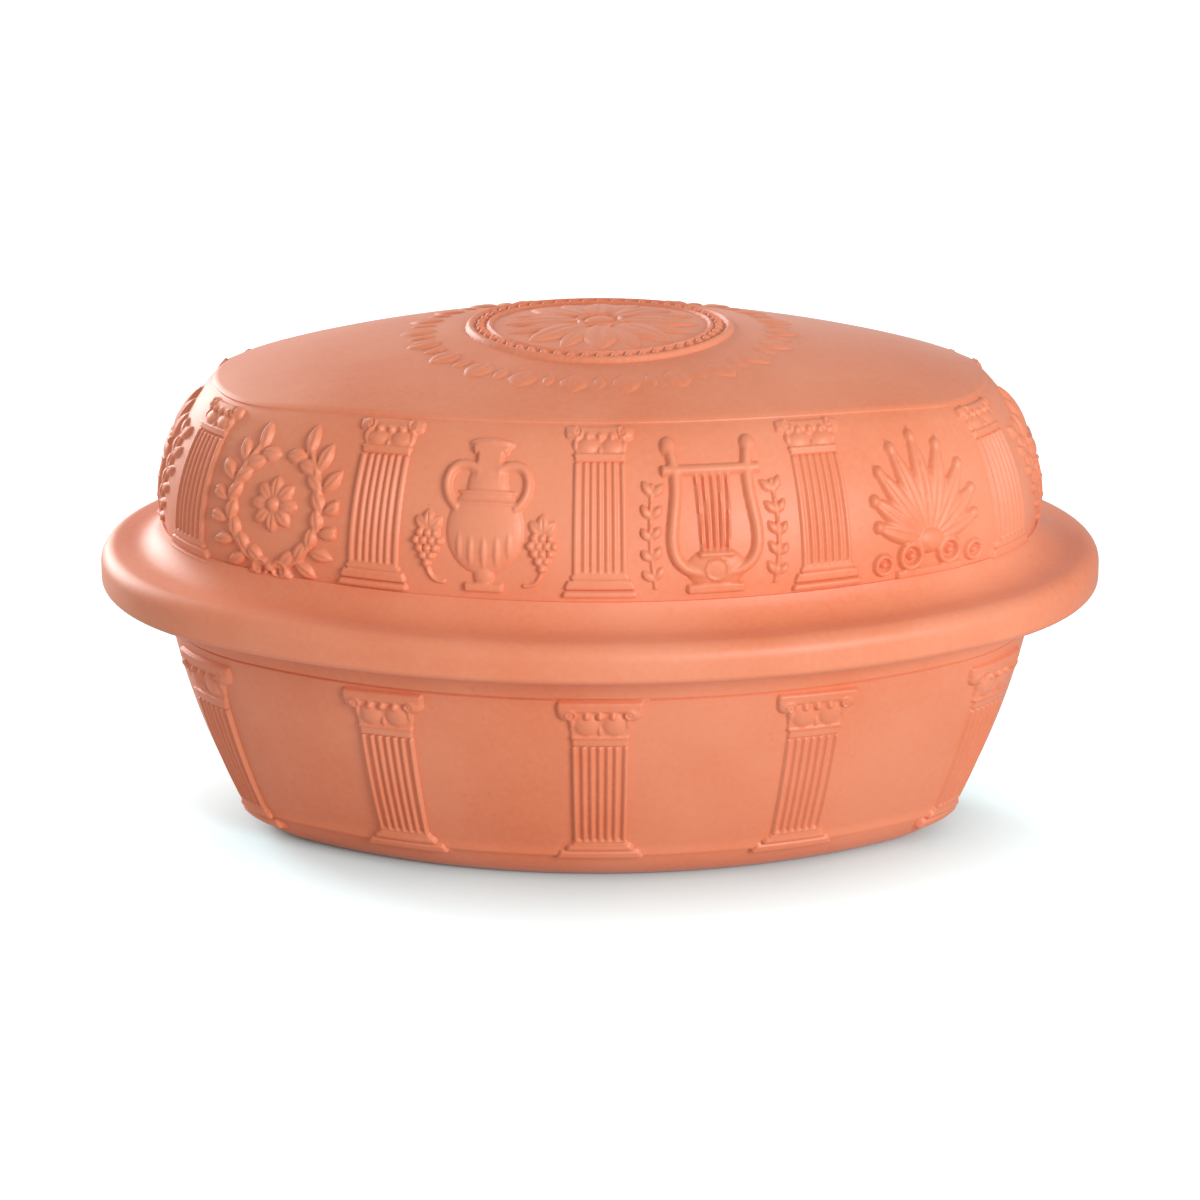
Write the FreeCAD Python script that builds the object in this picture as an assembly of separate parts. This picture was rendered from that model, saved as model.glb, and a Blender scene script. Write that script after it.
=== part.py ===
import FreeCAD, Part
import math
import os

# Oval clay roaster in two fired pieces, a dish and a domed lid, in millimetres.
# The frame is +Z up, +X along the length, origin under the middle of the foot.

# Plan of the outermost line, the flange of the lid: four tangent arcs.
length = 350.0
width = 236.0
end_radius = 92.0

# Sections are drawn as (out, z). Out is measured square to the flange's outer line and is
# negative inwards, so one section carried round the four arcs gives even walls. Round
# stretches of a section are short chords that leave the true curve by chord_sag at most.
chord_sag = 0.7
wall_thickness = 9.0
floor_thickness = 9.0
roof_thickness = 9.0

# Dish: flat foot, bellied wall, flared rim.
foot_curve = 21.0
foot_sunk = 0.7
dish_wall_radius = 264.0
dish_belly_height = 130.0
dish_belly_inset = 18.4
dish_inside_corner = 16.0
dish_ledge_height = 77.4
rim_top = 96.0
rim_thickness = 7.0
rim_cove = 9.0
rim_corner = 2.0

# Lid: skirt round the rim, flange, cove, frieze wall and crowned plateau.
skirt_low = 89.6
skirt_width = 7.0
skirt_clearance = 1.2
flange_round_low = 2.6
flange_round_high = 6.0
flange_top = 103.6
lid_cove = 12.0
frieze_low = 112.0
lid_wall_radius = 65.0
lid_belly_height = 117.4
lid_belly_inset = 21.4
crown_height = 183.4
crown_radius_across = 191.0
crown_radius_along = 481.0

# Relief: how far it stands out, how deep it is rooted, and the fine steps of the wall.
relief_depth = 1.3
plinth_depth = 1.6
relief_root = 1.0
step_depth = 0.6
end_drop = 4.5

# Columns, each height at the middle of a long side.
column_count = 10
lid_column_low = 113.6
lid_plinth_high = 121.6
lid_capital_low = 159.2
lid_column_high = 166.6
lid_shaft_width = 17.4
lid_capital_width = 25.0
lid_plinth_width = 24.0
dish_column_low = 10.8
dish_plinth_high = 18.2
dish_capital_low = 61.8
dish_column_high = 76.4
dish_shaft_width = 18.0
dish_capital_width = 27.6
dish_plinth_width = 29.0
slab_share = 0.62

# Motifs of the frieze panels, drawn about a panel's middle.
panel_middle = 138.5

# Round ornament on the plateau, radii from its centre.
medallion_outer = 46.5
medallion_inner = 42.5
rosette_radius = 34.0
rosette_petals = 8
rosette_eye = 6.5
garland_inner = 57.0
garland_outer = 69.5
garland_leaves = 16
garland_leaf_breadth = 10.0
plateau_relief = 1.2
rosette_fill = 0.8
leaf_belly = 0.45

# Hidden working sizes: how far the lid's wall is drawn above its belly, past the plateau that
# cuts it off, how far the crown is turned to each side, and the depth of a motif's stamp.
lid_wall_rise = 58.5
crown_half_turn = 60.0
stamp_depth = 40.0

UP = FreeCAD.Vector(0, 0, 1)
ALONG = FreeCAD.Vector(1, 0, 0)


class PlanArc:
    """One arc of the plan: its centre, its radius on the flange line and where it runs."""

    def __init__(self, x, y, radius, middle, half_sweep):
        self.centre = FreeCAD.Vector(x, y, 0)
        self.radius = radius
        self.middle = middle
        self.half_sweep = half_sweep

    def point(self, angle, out, z):
        reach = self.radius + out
        return self.centre + FreeCAD.Vector(reach * math.cos(angle), reach * math.sin(angle), z)


# Each side arc meets the end arcs with one tangent.
end_centre = length / 2 - end_radius
side_radius = (end_centre ** 2 / (width / 2 - end_radius) + end_radius + width / 2) / 2
side_centre = side_radius - width / 2
end_half = math.atan2(side_centre, end_centre)
side_half = math.pi / 2 - end_half
FRONT = PlanArc(0, side_centre, side_radius, -math.pi / 2, side_half)
RIGHT = PlanArc(end_centre, 0, end_radius, 0, end_half)
BACK = PlanArc(0, -side_centre, side_radius, math.pi / 2, side_half)
LEFT = PlanArc(-end_centre, 0, end_radius, math.pi, end_half)
PLAN = [FRONT, RIGHT, BACK, LEFT]


def chord_count(radius, turn):
    """How many chords stand for a round of this radius and turn."""
    return max(1, round(abs(turn) / (2 * math.acos(1 - min(1.0, chord_sag / radius)))))


def bend(centre, radius, start, end):
    """The chord points of a round from start to end, without start itself."""
    first = math.atan2(start[1] - centre[1], start[0] - centre[0])
    turn = math.atan2(end[1] - centre[1], end[0] - centre[0]) - first
    turn = math.remainder(turn, 2 * math.pi)
    count = chord_count(radius, turn)
    angles = [first + turn * step / count for step in range(1, count)]
    points = [(centre[0] + radius * math.cos(angle), centre[1] + radius * math.sin(angle))
              for angle in angles]
    return points + [end]


class Wall:
    """A wall's outer face in section: part of a circle that is widest at its belly."""

    def __init__(self, radius, belly_height, belly_inset):
        self.radius = radius
        self.height = belly_height
        self.middle = -belly_inset - radius
        self.slopes = []

    def level(self, z, proud=0.0):
        """The point at height z of the circle that stands proud of the wall."""
        reach = self.radius + proud
        return (self.middle + math.sqrt(reach ** 2 - (z - self.height) ** 2), z)

    def divide(self, low, high):
        """Set the ends of the wall's chords between two heights."""
        first = math.asin((low - self.height) / self.radius)
        turn = math.asin((high - self.height) / self.radius) - first
        count = chord_count(self.radius, turn)
        self.slopes = [first + turn * step / count for step in range(count + 1)]

    def corners(self, proud):
        reach = self.radius + proud
        return [(self.middle + reach * math.cos(slope), self.height + reach * math.sin(slope))
                for slope in self.slopes]

    def at(self, z, proud=0.0):
        """The chorded wall's point at height z, moved square to the wall by proud."""
        base = self.corners(0)
        lifted = self.corners(proud)
        index = sum(1 for corner in base[1:-1] if corner[1] <= z)
        share = (z - base[index][1]) / (base[index + 1][1] - base[index][1])
        low, high = lifted[index], lifted[index + 1]
        return (low[0] + (high[0] - low[0]) * share, low[1] + (high[1] - low[1]) * share)

    def path(self, low, high, proud=0.0):
        """The chorded wall from one height up to another, moved square to it by proud."""
        base = self.corners(0)
        lifted = self.corners(proud)
        hair = 1e-6
        between = [spot for spot, corner in zip(lifted, base) if low + hair < corner[1] < high - hair]
        return [self.at(low, proud)] + between + [self.at(high, proud)]


DISH_WALL = Wall(dish_wall_radius, dish_belly_height, dish_belly_inset)
LID_WALL = Wall(lid_wall_radius, lid_belly_height, lid_belly_inset)


def touch(wall, centre, reach):
    """Where a round about centre touches the wall's circle of radius reach."""
    away = (centre[0] - wall.middle, centre[1] - wall.height)
    scale = reach / math.hypot(*away)
    return (wall.middle + away[0] * scale, wall.height + away[1] * scale)


# The dish's wall rises from the curve of its foot, and the lid's wall is drawn past the
# plateau, which then cuts it off.
foot_centre = DISH_WALL.level(foot_curve - foot_sunk, -foot_curve)
foot_end = touch(DISH_WALL, foot_centre, dish_wall_radius)
DISH_WALL.divide(foot_end[1], rim_top)
lid_blank_top = lid_belly_height + lid_wall_rise
LID_WALL.divide(frieze_low, lid_blank_top)


def polygon(place, points):
    """A flat face through points given in drawing coordinates."""
    corners = [place(point) for point in points]
    return Part.Face(Part.makePolygon(corners + corners[:1]))


def swept(arc, angle, sweep, section):
    """A section turned about the centre of one plan arc."""
    face = polygon(lambda spot: arc.point(angle, *spot), section)
    return face.revolve(arc.centre, UP, math.degrees(sweep))


def ring(section):
    """A section carried all the way round the oval."""
    parts = [swept(arc, arc.middle - arc.half_sweep, 2 * arc.half_sweep, section) for arc in PLAN]
    return parts[0].multiFuse(parts[1:])


def oval_block(out, low, high):
    """An upright oval block with its side at the given out."""
    edges = []
    for arc in PLAN:
        angles = [arc.middle - arc.half_sweep, arc.middle, arc.middle + arc.half_sweep]
        edges.append(Part.Arc(*[arc.point(angle, out, low) for angle in angles]).toShape())
    return Part.Face(Part.Wire(edges)).extrude(UP * (high - low))


# The rings of a wall are filled inwards to this line, and an oval block fills the middle. It
# lies halfway from the inside corner of the dish's floor to the centres of the end arcs.
hollow_centre = DISH_WALL.level(
    floor_thickness + dish_inside_corner, -wall_thickness - dish_inside_corner)
core_out = (hollow_centre[0] - end_radius) / 2


def crown_body(sunk):
    """All that lies under the crowned plateau, lowered square to itself by sunk."""
    along = crown_radius_along - sunk
    reach = length / 2
    centre = (0, crown_height - crown_radius_along)
    shoulder = centre[1] + math.sqrt(along ** 2 - reach ** 2)
    axis = crown_height - crown_radius_across
    arc = bend(centre, along, (-reach, shoulder), (reach, shoulder))
    face = polygon(flat, [(-reach, axis), (-reach, shoulder)] + arc + [(reach, axis)])
    pivot = flat((0, axis))
    start = face.rotated(pivot, ALONG, -crown_half_turn)
    return start.revolve(pivot, ALONG, 2 * crown_half_turn)


def flat(spot):
    """A drawing point on the upright drawing plane."""
    return FreeCAD.Vector(spot[0], 0, spot[1])


def dish_shell():
    """The dish without its columns."""
    under = rim_top - rim_thickness
    edge = -(skirt_width + skirt_clearance)
    foot_start = (foot_centre[0] + math.sqrt(foot_curve ** 2 - foot_centre[1] ** 2), 0)
    cove_centre = DISH_WALL.level(under - rim_cove, step_depth + rim_cove)
    cove_start = touch(DISH_WALL, cove_centre, dish_wall_radius + step_depth)
    inner_foot = touch(DISH_WALL, hollow_centre, dish_wall_radius - wall_thickness)
    inner_wall = DISH_WALL.path(inner_foot[1], rim_top, -wall_thickness)
    section = [(core_out, 0), foot_start]
    section += bend(foot_centre, foot_curve, foot_start, foot_end)[:-1]
    section += DISH_WALL.path(foot_end[1], dish_ledge_height)
    section += DISH_WALL.path(dish_ledge_height, cove_start[1], step_depth)
    section += bend(cove_centre, rim_cove, cove_start, (cove_centre[0], under))
    section += [(edge - rim_corner, under), (edge, under + rim_corner), (edge, rim_top)]
    section += [(inner_wall[-1][0], rim_top)] + inner_wall[-2:0:-1]
    section += bend(hollow_centre, dish_inside_corner, inner_foot, (hollow_centre[0], floor_thickness))
    section += [(core_out, floor_thickness)]
    return ring(section).fuse(oval_block(core_out, 0, floor_thickness)).removeSplitter()


def lid_hollow():
    """The space inside the lid, from the rim's seat up to the roof."""
    inner_wall = LID_WALL.path(lid_belly_height, lid_blank_top, -wall_thickness)
    top = inner_wall[-1][1]
    section = [(core_out, rim_top), (inner_wall[0][0], rim_top)] + inner_wall + [(core_out, top)]
    space = ring(section).fuse(oval_block(core_out, rim_top, top)).removeSplitter()
    return space.common(crown_body(roof_thickness))


def lid_blank():
    """The lid's outer form, still solid inside and without its relief."""
    low = (-flange_round_low, skirt_low)
    low_end = (0, skirt_low + flange_round_low)
    high = (0, flange_top - flange_round_high)
    high_end = (-flange_round_high, flange_top)
    cove_centre = LID_WALL.level(flange_top + lid_cove, lid_cove)
    cove_start = (cove_centre[0], flange_top)
    cove_drop = cove_centre[1] - frieze_low
    cove_end = (cove_centre[0] - math.sqrt(lid_cove ** 2 - cove_drop ** 2), frieze_low)
    section = [(core_out, skirt_low), low]
    section += bend((low[0], low_end[1]), flange_round_low, low, low_end) + [high]
    section += bend((high_end[0], high[1]), flange_round_high, high, high_end) + [cove_start]
    section += bend(cove_centre, lid_cove, cove_start, cove_end)
    section += LID_WALL.path(frieze_low, lid_blank_top) + [(core_out, lid_blank_top)]
    blank = ring(section).fuse(oval_block(core_out, skirt_low, lid_blank_top)).removeSplitter()
    return blank.common(crown_body(0))


def along_wall(wall, middle, distance):
    """The plan arc and angle at a distance round the wall from the middle of the front."""
    out = wall.at(middle)[0]
    arcs = [FRONT, RIGHT, BACK, LEFT, FRONT]
    spans = [2 * arc.half_sweep * (arc.radius + out) for arc in arcs]
    left = distance + spans[0] / 2
    for arc, span in zip(arcs, spans):
        if left <= span:
            return arc, arc.middle - arc.half_sweep + left / (arc.radius + out)
        left -= span
    return arcs[-1], arcs[-1].middle


def girth(wall, middle):
    """The length of the oval round the wall at one height."""
    out = wall.at(middle)[0]
    return sum(2 * arc.half_sweep * (arc.radius + out) for arc in PLAN)


def drop_at(arc, angle):
    """Relief hangs a little lower towards the two ends of the oval."""
    across = arc.point(angle, 0, 0).x / (length / 2)
    return end_drop * across ** 2


def pad(wall, arc, angle, breadth, low, high, proud):
    """A raised patch of the wall, breadth wide and low to high, as one swept solid."""
    reach = arc.radius + wall.at((low + high) / 2)[0]
    section = wall.path(low, high, proud) + wall.path(low, high, -relief_root)[::-1]
    return swept(arc, angle - breadth / 2 / reach, breadth / reach, section)


def column(wall, arc, angle, low, plinth_high, capital_low, high, shaft, capital, plinth):
    """A column in plain blocks: plinth, shaft, and a capital under a broad slab."""
    drop = drop_at(arc, angle)
    low, plinth_high, capital_low, high = [z - drop for z in (low, plinth_high, capital_low, high)]
    slab = high - slab_share * (high - capital_low)
    pieces = [
        pad(wall, arc, angle, plinth, low, plinth_high, plinth_depth),
        pad(wall, arc, angle, shaft, plinth_high, slab, relief_depth),
        pad(wall, arc, angle, capital, slab, high, plinth_depth),
    ]
    return pieces[0].multiFuse(pieces[1:])


def columns(wall, low, plinth_high, capital_low, high, shaft, capital, plinth):
    """All the columns of one piece, evenly spaced round its wall."""
    middle = (low + high) / 2
    pitch = girth(wall, middle) / column_count
    found = []
    for index in range(column_count):
        arc, angle = along_wall(wall, middle, index * pitch)
        found.append(column(
            wall, arc, angle, low, plinth_high, capital_low, high, shaft, capital, plinth))
    return found


def aside(start, end, reach):
    """A step of the given reach square to the line from start to end."""
    along = (end[0] - start[0], end[1] - start[1])
    scale = reach / math.hypot(*along)
    return (-along[1] * scale, along[0] * scale)


def leaf(start, end, breadth):
    """A pointed leaf between two points, in four straight edges."""
    side = aside(start, end, breadth / 2)
    belly = [start[axis] + (end[axis] - start[axis]) * leaf_belly for axis in (0, 1)]
    one = (belly[0] + side[0], belly[1] + side[1])
    other = (belly[0] - side[0], belly[1] - side[1])
    return polygon(flat, [start, one, end, other])


def disc(centre, radius):
    """A round face on the drawing plane."""
    circle = Part.Circle(flat(centre), FreeCAD.Vector(0, 1, 0), radius)
    return Part.Face(Part.Wire(circle.toShape()))


def bar(start, end, breadth):
    """A straight strip between two points."""
    side = aside(start, end, breadth / 2)
    return polygon(flat, [
        (start[0] - side[0], start[1] - side[1]), (end[0] - side[0], end[1] - side[1]),
        (end[0] + side[0], end[1] + side[1]), (start[0] + side[0], start[1] + side[1])])


def hoop(centre, outer, inner):
    """A flat ring on the drawing plane."""
    return disc(centre, outer).cut(disc(centre, inner))


def mirrored(points):
    """A closed outline from the points of its right half, top to bottom."""
    return polygon(flat, points + [(-x, z) for x, z in reversed(points)])


def amphora():
    """A two-handled jar on a small foot."""
    right = [(6.6, 21), (3.8, 16), (4, 10), (11.2, -1), (7.5, -13), (2.4, -19), (5, -22)]
    faces = [mirrored(right)]
    for side in (-1, 1):
        handle = [(3.8, 17), (12, 16), (12.5, 9), (8.5, 4), (9.5, 13)]
        faces.append(polygon(flat, [(side * x, z) for x, z in handle]))
    return faces


def lyre():
    """A small harp: two curved arms, a cross bar and a foot."""
    arm = [(0, -19), (11, -16), (15, -6), (10.5, 9), (13, 19), (9.5, 19), (6.8, 9), (10.5, -5), (0, -13)]
    faces = [bar((-16, 14.5), (16, 14.5), 3.2), bar((-8, -20), (8, -20), 4)]
    for side in (-1, 1):
        faces.append(polygon(flat, [(side * x, z) for x, z in arm]))
    return faces


def wreath():
    """A laurel wreath, open at the top."""
    faces = []
    leaves = 4
    for side in (-1, 1):
        for index in range(leaves):
            turn = math.radians(-84 + index * 150 / leaves)
            way = turn + math.radians(68)
            root = (side * 14 * math.cos(turn), 14 * math.sin(turn))
            tip = (root[0] + side * 13 * math.cos(way), root[1] + 13 * math.sin(way))
            faces.append(leaf(root, tip, 7))
    return faces


def palmette():
    """A fan of five leaves over a curved foot."""
    faces = [mirrored([(3, -8), (12, -18), (9, -22)])]
    for step in range(-2, 3):
        turn = math.radians(90 + 36 * step)
        reach = 29 - 4 * abs(step)
        faces.append(leaf((0, -10), (reach * math.cos(turn), -10 + reach * math.sin(turn)), 8))
    return faces


def torch():
    """A burning torch."""
    faces = [mirrored([(5, 6), (4, 1), (1.4, -23)]), leaf((0, 4), (0, 24), 9)]
    return faces + [leaf((2, 5), (8, 17), 6), leaf((-2, 5), (-8, 17), 6)]


MOTIFS = [lyre, palmette, torch, wreath, amphora]


def frieze(wall, middle):
    """The motifs of the lid's panels, each stamped square onto the wall."""
    pitch = girth(wall, middle) / column_count
    low = frieze_low - end_drop
    section = wall.path(low, lid_column_high, relief_depth)
    section += wall.path(low, lid_column_high, -relief_root)[::-1]
    skin = ring(section)
    found = []
    for index in range(column_count):
        arc, angle = along_wall(wall, middle, (index + 0.5) * pitch)
        faces = MOTIFS[index % len(MOTIFS)]()
        prisms = [face.extrude(FreeCAD.Vector(0, stamp_depth, 0)) for face in faces]
        stamp = prisms[0].multiFuse(prisms[1:])
        stamp.translate(FreeCAD.Vector(0, -stamp_depth / 4, panel_middle - drop_at(arc, angle)))
        stamp.rotate(FreeCAD.Vector(0, 0, 0), UP, math.degrees(angle) + 90)
        stamp.translate(arc.point(angle, wall.at(middle)[0], 0))
        found.append(stamp.common(skin))
    return found


def medallion():
    """The round ornament on the plateau: a ring, a rosette and a garland of leaves."""
    faces = [hoop((0, 0), medallion_outer, medallion_inner), disc((0, 0), rosette_eye)]
    petal_turn = 2 * math.pi / rosette_petals
    for index in range(rosette_petals):
        turn = index * petal_turn
        tip = (rosette_radius * math.cos(turn), rosette_radius * math.sin(turn))
        breadth = rosette_radius * math.tan(petal_turn / 2) * rosette_fill
        faces.append(leaf((0, 0), tip, breadth))
    for index in range(garland_leaves):
        turn = 2 * math.pi * index / garland_leaves
        way = (math.cos(turn), math.sin(turn))
        root = (garland_inner * way[0], garland_inner * way[1])
        tip = (garland_outer * way[0], garland_outer * way[1])
        faces.append(leaf(root, tip, garland_leaf_breadth))
    prisms = [face.extrude(FreeCAD.Vector(0, -crown_height, 0)) for face in faces]
    stamp = prisms[0].multiFuse(prisms[1:])
    stamp.rotate(FreeCAD.Vector(0, 0, 0), ALONG, -90)
    stamp.translate(UP * lid_belly_height)
    return stamp.common(crown_body(-plateau_relief))


def build_dish():
    relief = columns(
        DISH_WALL, dish_column_low, dish_plinth_high, dish_capital_low, dish_column_high,
        dish_shaft_width, dish_capital_width, dish_plinth_width)
    return dish_shell().multiFuse(relief)


def build_lid():
    relief = columns(
        LID_WALL, lid_column_low, lid_plinth_high, lid_capital_low, lid_column_high,
        lid_shaft_width, lid_capital_width, lid_plinth_width)
    relief += frieze(LID_WALL, panel_middle)
    outer = lid_blank().fuse(medallion()).multiFuse(relief)
    seat = oval_block(-skirt_width, skirt_low, rim_top)
    return outer.cut(seat).cut(lid_hollow())


os.makedirs("parts", exist_ok=True)
for name, build in (("base_dish", build_dish), ("lid", build_lid)):
    shape = build()
    print(name, "solids", len(shape.Solids), "valid", shape.isValid(), "cm3", round(shape.Volume / 1000, 1))
    shape.exportStep("parts/" + name + ".step")
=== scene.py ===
# %% [markdown]
# # A clay roaster
# An oval roasting pot of unglazed fired clay: a deep dish and a domed lid, both cast in plaster moulds.
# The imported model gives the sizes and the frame. Everything here is in its place, in metres,
# and the sizes below are written in millimetres and turned to metres with MM.

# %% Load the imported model
import math
import bpy
import numpy as np
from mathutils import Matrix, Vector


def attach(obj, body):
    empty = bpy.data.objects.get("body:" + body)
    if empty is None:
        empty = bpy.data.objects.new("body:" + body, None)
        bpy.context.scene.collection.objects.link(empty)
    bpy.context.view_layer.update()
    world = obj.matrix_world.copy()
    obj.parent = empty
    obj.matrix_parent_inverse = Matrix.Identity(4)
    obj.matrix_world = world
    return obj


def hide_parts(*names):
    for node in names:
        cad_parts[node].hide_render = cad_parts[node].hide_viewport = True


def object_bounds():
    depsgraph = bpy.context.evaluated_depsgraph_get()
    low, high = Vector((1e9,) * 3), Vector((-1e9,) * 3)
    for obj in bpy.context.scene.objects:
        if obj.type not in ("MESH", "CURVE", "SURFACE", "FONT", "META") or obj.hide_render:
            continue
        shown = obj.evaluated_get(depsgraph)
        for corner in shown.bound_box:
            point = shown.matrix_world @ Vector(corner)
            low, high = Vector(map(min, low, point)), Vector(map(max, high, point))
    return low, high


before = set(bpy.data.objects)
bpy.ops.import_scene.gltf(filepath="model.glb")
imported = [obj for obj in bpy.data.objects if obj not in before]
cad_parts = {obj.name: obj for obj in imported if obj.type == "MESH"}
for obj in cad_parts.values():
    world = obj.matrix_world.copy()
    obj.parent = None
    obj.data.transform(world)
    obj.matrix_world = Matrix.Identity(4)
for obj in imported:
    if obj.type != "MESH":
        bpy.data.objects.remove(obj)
cad_low, cad_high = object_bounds()
MM = 0.001
LENGTH = (cad_high.x - cad_low.x) / MM
WIDTH = (cad_high.y - cad_low.y) / MM
print("nodes:", sorted(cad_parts), "length", round(LENGTH, 1), "width", round(WIDTH, 1), "mm")

# %% [markdown]
# ## Small helpers
# An operator acts on all that is selected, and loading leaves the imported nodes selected. So every
# step starts by deselecting, and edit mode gets its points picked by their place.

# %% Helpers for selecting and editing
def deselect():
    bpy.ops.object.select_all(action="DESELECT")


def pick(piece):
    deselect()
    piece.select_set(True)
    bpy.context.view_layer.objects.active = piece


def places(piece):
    """The places of a mesh's points, in millimetres."""
    flat = np.empty(len(piece.data.vertices) * 3)
    piece.data.vertices.foreach_get("co", flat)
    return flat.reshape(-1, 3) / MM


def put(piece, spots):
    """Move a mesh's points to these places, in millimetres."""
    piece.data.vertices.foreach_set("co", (np.asarray(spots) * MM).ravel())
    piece.data.update()


def edit_points(piece, chosen):
    """Go to edit mode with only the chosen points selected."""
    pick(piece)
    mesh = piece.data
    mesh.vertices.foreach_set("select", np.asarray(chosen, bool))
    mesh.edges.foreach_set("select", np.zeros(len(mesh.edges), bool))
    mesh.polygons.foreach_set("select", np.zeros(len(mesh.polygons), bool))
    bpy.ops.object.mode_set(mode="EDIT")
    bpy.ops.mesh.select_mode(type="VERT")


def edit_all(piece):
    pick(piece)
    bpy.ops.object.mode_set(mode="EDIT")
    bpy.ops.mesh.select_mode(type="VERT")
    bpy.ops.mesh.select_all(action="SELECT")


def edit_rim(piece):
    """Go to edit mode with the open rims of the mesh selected."""
    edit_all(piece)
    bpy.ops.mesh.select_all(action="DESELECT")
    bpy.ops.mesh.select_non_manifold(
        extend=False, use_wire=False, use_boundary=True,
        use_multi_face=False, use_non_contiguous=False, use_verts=False)


def leave_edit():
    bpy.ops.object.mode_set(mode="OBJECT")


# %% [markdown]
# ## The oval
# The plan is four arcs that meet smoothly: a long flat one on each side and a tight one at each end.
# A place on a wall is given by how far out it lies from the flange's edge, and by its height.

# %% The four arcs of the plan
END_RADIUS = 92.0
END_CENTRE = LENGTH / 2 - END_RADIUS
SIDE_RADIUS = (END_CENTRE ** 2 / (WIDTH / 2 - END_RADIUS) + END_RADIUS + WIDTH / 2) / 2
SIDE_CENTRE = SIDE_RADIUS - WIDTH / 2
END_HALF = math.atan2(SIDE_CENTRE, END_CENTRE)
SIDE_HALF = math.pi / 2 - END_HALF

# Each arc: centre x, centre y, radius, middle direction, half of its sweep, steps of the spin.
SIDE_STEPS = 48
END_STEPS = 60
ARCS = [
    (0.0, SIDE_CENTRE, SIDE_RADIUS, -math.pi / 2, SIDE_HALF, SIDE_STEPS),
    (END_CENTRE, 0.0, END_RADIUS, 0.0, END_HALF, END_STEPS),
    (0.0, -SIDE_CENTRE, SIDE_RADIUS, math.pi / 2, SIDE_HALF, SIDE_STEPS),
    (-END_CENTRE, 0.0, END_RADIUS, math.pi, END_HALF, END_STEPS),
]


def plan_of(x, y):
    """How far out each point lies, and the direction there that is square to the oval."""
    across = np.abs(x)
    deep = np.abs(y)
    at_end = deep < (across - END_CENTRE) * math.tan(END_HALF)
    from_x = across - np.where(at_end, END_CENTRE, 0.0)
    from_y = deep + np.where(at_end, 0.0, SIDE_CENTRE)
    reach = np.hypot(from_x, from_y)
    out = reach - np.where(at_end, END_RADIUS, SIDE_RADIUS)
    return out, np.sign(x) * from_x / reach, np.sign(y) * from_y / reach


print("side radius", round(SIDE_RADIUS, 1), "mm, end arc turns", round(math.degrees(2 * END_HALF), 1))

# %% [markdown]
# ## Walls and crown
# Both walls bulge: in section each is part of a large circle. The lid's plateau is crowned, with one
# gentle curve along the pot and a tighter one across it, which lets steam run down to the sides.

# %% Walls and crown
class Wall:
    """A bulging wall: in section, part of a circle that is widest at the height of its belly."""

    def __init__(self, radius, height, inset):
        self.radius = radius
        self.height = height
        self.middle = -inset - radius

    def out(self, z, proud=0.0):
        return self.middle + np.sqrt((self.radius + proud) ** 2 - (z - self.height) ** 2)


DISH_WALL = Wall(264.0, 130.0, 18.4)
LID_WALL = Wall(65.0, 117.4, 22.2)
THICKNESS = 9.0
CROWN_TOP = 182.5
CROWN_ACROSS = 188.0
CROWN_ALONG = 481.0


def crown(x, y, sunk=0.0):
    """The height of the plateau, or of a surface that lies sunk below it."""
    ridge = CROWN_ACROSS - CROWN_ALONG + np.sqrt((CROWN_ALONG - sunk) ** 2 - x ** 2)
    return CROWN_TOP - CROWN_ACROSS + np.sqrt(ridge ** 2 - y ** 2)


def wall_top(x, y, proud=0.0):
    """How high the lid's wall goes before the crown cuts it, at each point of the plan."""
    out, way_x, way_y = plan_of(x, y)
    z = np.full_like(out, 166.0)
    for _ in range(16):
        step = LID_WALL.out(z, proud) - out
        z = crown(x + way_x * step, y + way_y * step, -proud)
    return z


front = np.array([0.0]), np.array([-WIDTH / 2])
FRONT_TOP = float(wall_top(*front)[0])
FRONT_ROOF = float(wall_top(*front, -THICKNESS)[0])
print("the plateau's edge is at z", round(FRONT_TOP, 1), "mm in front, its underside", round(FRONT_ROOF, 1))

# %% [markdown]
# ## Spinning a section round the oval
# A section is drawn once and the Spin tool carries it round each of the four arcs in turn. That is how
# a model maker would run a template round a plaster pattern, and it keeps the wall even all the way.

# %% Draw a section and spin it
ARC_STEP = math.radians(11)


def round_to(centre, start, end):
    """The points of a round stretch from start to end, without start itself."""
    first = math.atan2(start[1] - centre[1], start[0] - centre[0])
    turn = math.remainder(math.atan2(end[1] - centre[1], end[0] - centre[0]) - first, 2 * math.pi)
    radius = math.hypot(start[0] - centre[0], start[1] - centre[1])
    count = max(2, math.ceil(abs(turn) / ARC_STEP))
    angles = [first + turn * step / count for step in range(1, count)]
    return [(centre[0] + radius * math.cos(a), centre[1] + radius * math.sin(a)) for a in angles] + [end]


def touch(wall, centre, reach):
    """Where a round about centre meets the wall's circle of the given radius."""
    away = (centre[0] - wall.middle, centre[1] - wall.height)
    scale = reach / math.hypot(*away)
    return (wall.middle + away[0] * scale, wall.height + away[1] * scale)


def wall_run(wall, low, high, count, proud=0.0):
    heights = np.linspace(low, high, count)
    return [(float(wall.out(z, proud)), float(z)) for z in heights]


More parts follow.
